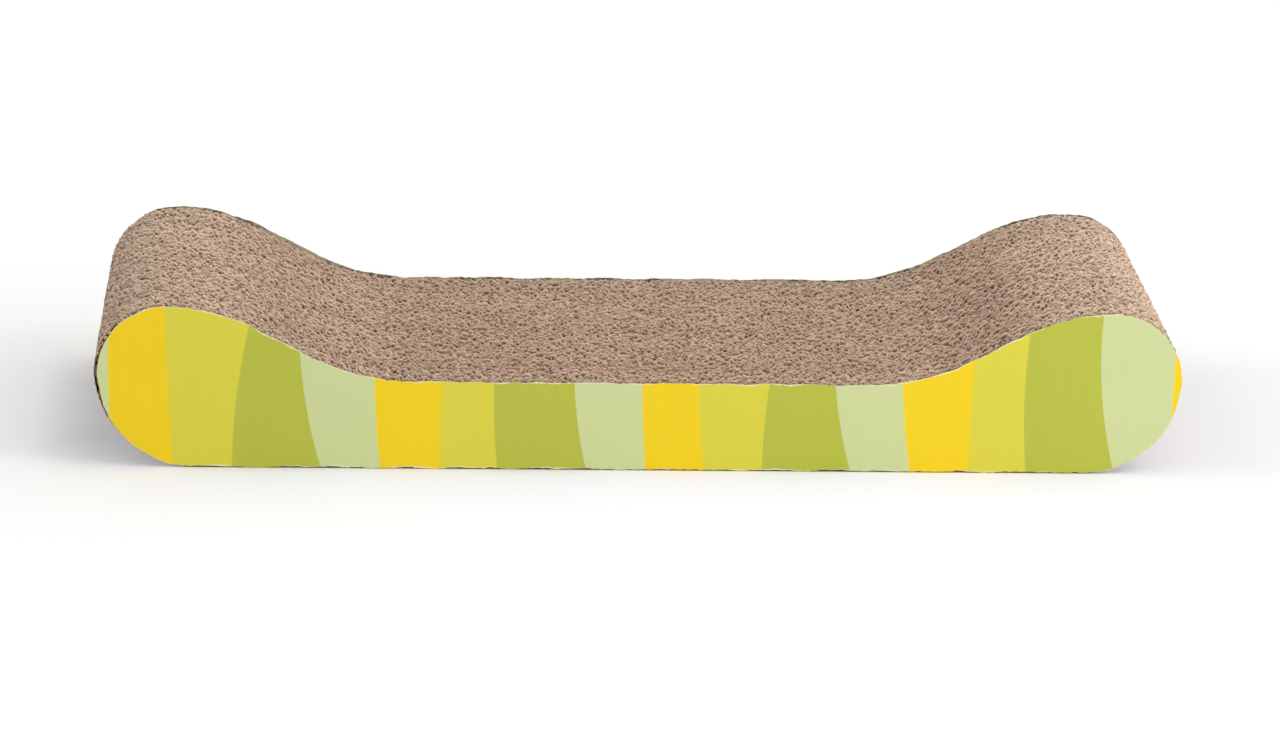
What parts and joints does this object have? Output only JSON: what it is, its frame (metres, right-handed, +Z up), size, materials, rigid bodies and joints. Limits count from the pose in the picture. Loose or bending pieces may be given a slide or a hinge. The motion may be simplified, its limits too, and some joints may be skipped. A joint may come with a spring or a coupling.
{
  "type": "cardboard cat scratcher",
  "caption": "low corrugated cardboard scratching bench for a cat, with rounded raised ends, a level middle and striped card sides",
  "frame": {"origin": "middle of the base, on the surface that the bench stands on", "axes": "+X along the bench from one raised end to the other, +Y from the front panel to the back panel across the boards, +Z up"},
  "size_m": [0.4964, 0.2252, 0.075],
  "materials": {
    "corrugated_board": "bare brown kraft corrugated board, cut edges up, open flutes and torn paper fibre, no sheen",
    "printed_card": "thin card printed in upright stripes of yellow, lime, green and pale green, satin print, pale cut edge"
  },
  "bodies": {
    "root": {"front_panel": "printed_card", "back_panel": "printed_card", "board_01": "corrugated_board", "board_02": "corrugated_board", "board_03": "corrugated_board", "board_04": "corrugated_board", "board_05": "corrugated_board", "board_06": "corrugated_board", "board_07": "corrugated_board", "board_08": "corrugated_board", "board_09": "corrugated_board", "board_10": "corrugated_board", "board_11": "corrugated_board", "board_12": "corrugated_board", "board_13": "corrugated_board", "board_14": "corrugated_board", "board_15": "corrugated_board", "board_16": "corrugated_board", "board_17": "corrugated_board", "board_18": "corrugated_board", "board_19": "corrugated_board", "board_20": "corrugated_board", "board_21": "corrugated_board", "board_22": "corrugated_board", "board_23": "corrugated_board", "board_24": "corrugated_board", "board_25": "corrugated_board", "board_26": "corrugated_board", "board_27": "corrugated_board", "board_28": "corrugated_board", "board_29": "corrugated_board", "board_30": "corrugated_board", "board_31": "corrugated_board", "board_32": "corrugated_board", "board_33": "corrugated_board", "board_34": "corrugated_board", "board_35": "corrugated_board", "board_36": "corrugated_board", "board_37": "corrugated_board", "board_38": "corrugated_board", "board_39": "corrugated_board", "board_40": "corrugated_board", "board_41": "corrugated_board", "board_42": "corrugated_board", "board_43": "corrugated_board", "board_44": "corrugated_board", "board_45": "corrugated_board"}
  },
  "joints": []
}
